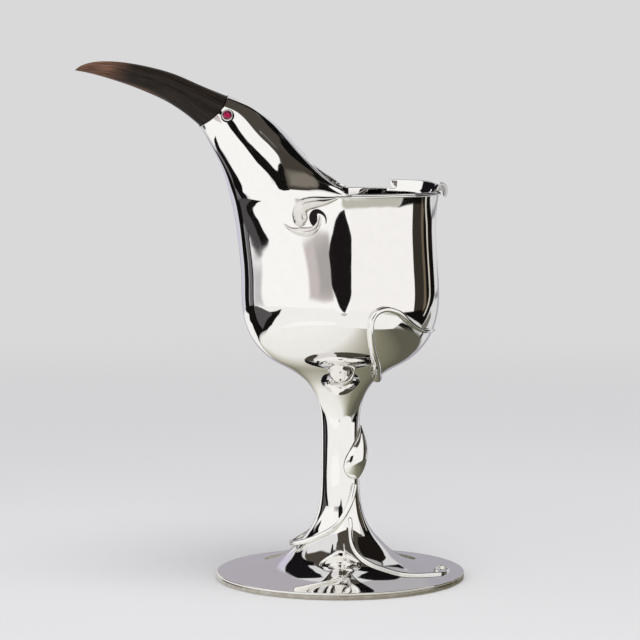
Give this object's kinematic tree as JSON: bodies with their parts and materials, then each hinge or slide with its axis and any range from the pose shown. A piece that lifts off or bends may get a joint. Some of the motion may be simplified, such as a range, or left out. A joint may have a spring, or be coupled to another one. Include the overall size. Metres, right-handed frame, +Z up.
{
  "type": "beaked goblet",
  "caption": "Silver goblet whose bowl runs up into a bird's head with a long dark horn beak, on a stem with leaf and tendril wires.",
  "frame": {"origin": "on the rest plane, under the middle of the whole cup's bounding box", "axes": "+Z up, the beak points along -X, the +Y side is the far side of the picture"},
  "size_m": [0.1852, 0.1188, 0.247],
  "materials": {
    "polished_silver": "mirror polished sterling silver",
    "dark_horn": "filed and waxed dark horn",
    "garnet": "polished domed stone"
  },
  "bodies": {
    "root": {"foot_plate": "polished_silver", "foot_edge_band": "polished_silver", "stem": "polished_silver", "bowl": "polished_silver", "neck_and_head": "polished_silver", "beak": "dark_horn", "beak_pin": "polished_silver", "eye_collet_near": "polished_silver", "eye_collet_far": "polished_silver", "eye_stone_near": "garnet", "eye_stone_far": "garnet", "rim_wire": "polished_silver", "rim_band": "polished_silver", "rim_band_curl": "polished_silver", "volute_near": "polished_silver", "volute_far": "polished_silver", "bowl_tendril": "polished_silver", "leaf_stalk": "polished_silver", "foot_tendril": "polished_silver", "stem_leaf": "polished_silver"}
  },
  "joints": []
}
